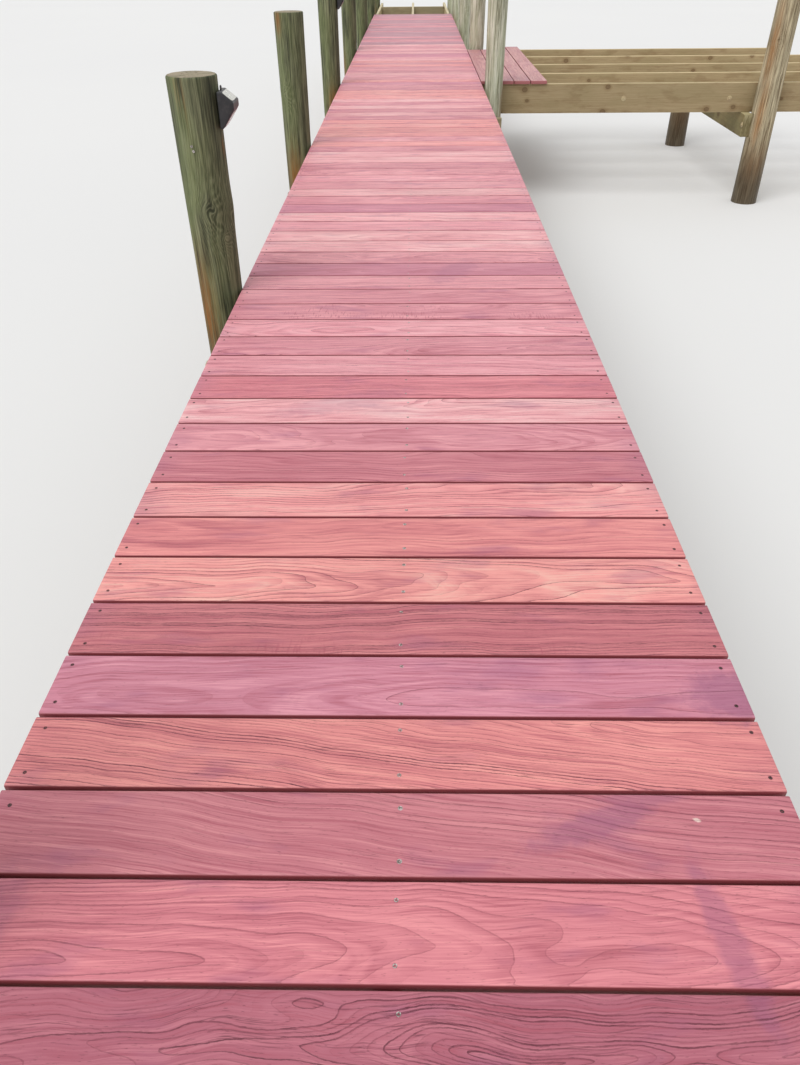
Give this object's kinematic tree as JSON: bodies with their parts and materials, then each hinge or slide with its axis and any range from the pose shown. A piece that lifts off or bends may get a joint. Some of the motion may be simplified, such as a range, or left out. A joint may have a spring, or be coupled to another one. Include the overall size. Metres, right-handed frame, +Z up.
{
  "type": "wooden jetty with a side platform",
  "caption": "Narrow timber walkway on round piles with cap planks and stringers, crosswise red deck boards, a bare end bay and a half-boarded side platform.",
  "frame": {"origin": "middle of the jetty's bounding box, at the waterline", "axes": "+Y along the walkway away from the shore end, +X towards the side platform, +Z up"},
  "size_m": [5.032, 17.848, 1.703],
  "materials": {
    "deck_board": "red hardwood boards, sanded and stained, satin",
    "stringer_timber": "treated pine, cream top edges",
    "cap_timber": "treated pine, weathered",
    "left_pile_timber": "treated round pine, green-grey, streaked",
    "right_pile_timber": "treated round pine, pale yellow-grey",
    "joist_timber": "fresh treated pine, cream top edges",
    "beam_timber": "treated pine, greenish",
    "side_pile_timber": "weathered round pine, grey with orange-brown patches",
    "light_housing": "black moulded plastic",
    "light_panel": "pale glazed panel"
  },
  "bodies": {
    "root": {"cap_planks_1": "cap_timber", "cap_planks_2": "cap_timber", "cap_planks_3": "cap_timber", "cap_planks_4": "cap_timber", "cap_planks_5": "cap_timber", "cap_planks_6": "cap_timber", "cap_planks_7": "cap_timber", "cap_planks_8": "cap_timber", "deck_boards_bay_1": "deck_board", "deck_boards_bay_2": "deck_board", "deck_boards_bay_3": "deck_board", "deck_boards_bay_4": "deck_board", "deck_boards_bay_5": "deck_board", "deck_boards_bay_6": "deck_board", "left_pile_1": "left_pile_timber", "left_pile_2": "left_pile_timber", "left_pile_3": "left_pile_timber", "left_pile_4": "left_pile_timber", "left_pile_5": "left_pile_timber", "left_pile_6": "left_pile_timber", "left_pile_7": "left_pile_timber", "left_pile_8": "left_pile_timber", "pile_light_1": "light_housing", "pile_light_2": "light_housing", "pile_light_panel_1": "light_panel", "pile_light_panel_2": "light_panel", "right_pile_1": "right_pile_timber", "right_pile_2": "right_pile_timber", "right_pile_3": "right_pile_timber", "right_pile_4": "right_pile_timber", "right_pile_5": "right_pile_timber", "right_pile_6": "right_pile_timber", "right_pile_7": "right_pile_timber", "right_pile_8": "right_pile_timber", "side_beam_ply_1": "beam_timber", "side_beam_ply_2": "beam_timber", "side_boards": "deck_board", "side_joists": "joist_timber", "side_pile_short": "side_pile_timber", "side_pile_tall": "side_pile_timber", "stringer_blocking": "stringer_timber", "stringer_centre": "stringer_timber", "stringer_left": "stringer_timber", "stringer_right": "stringer_timber"}
  },
  "joints": []
}
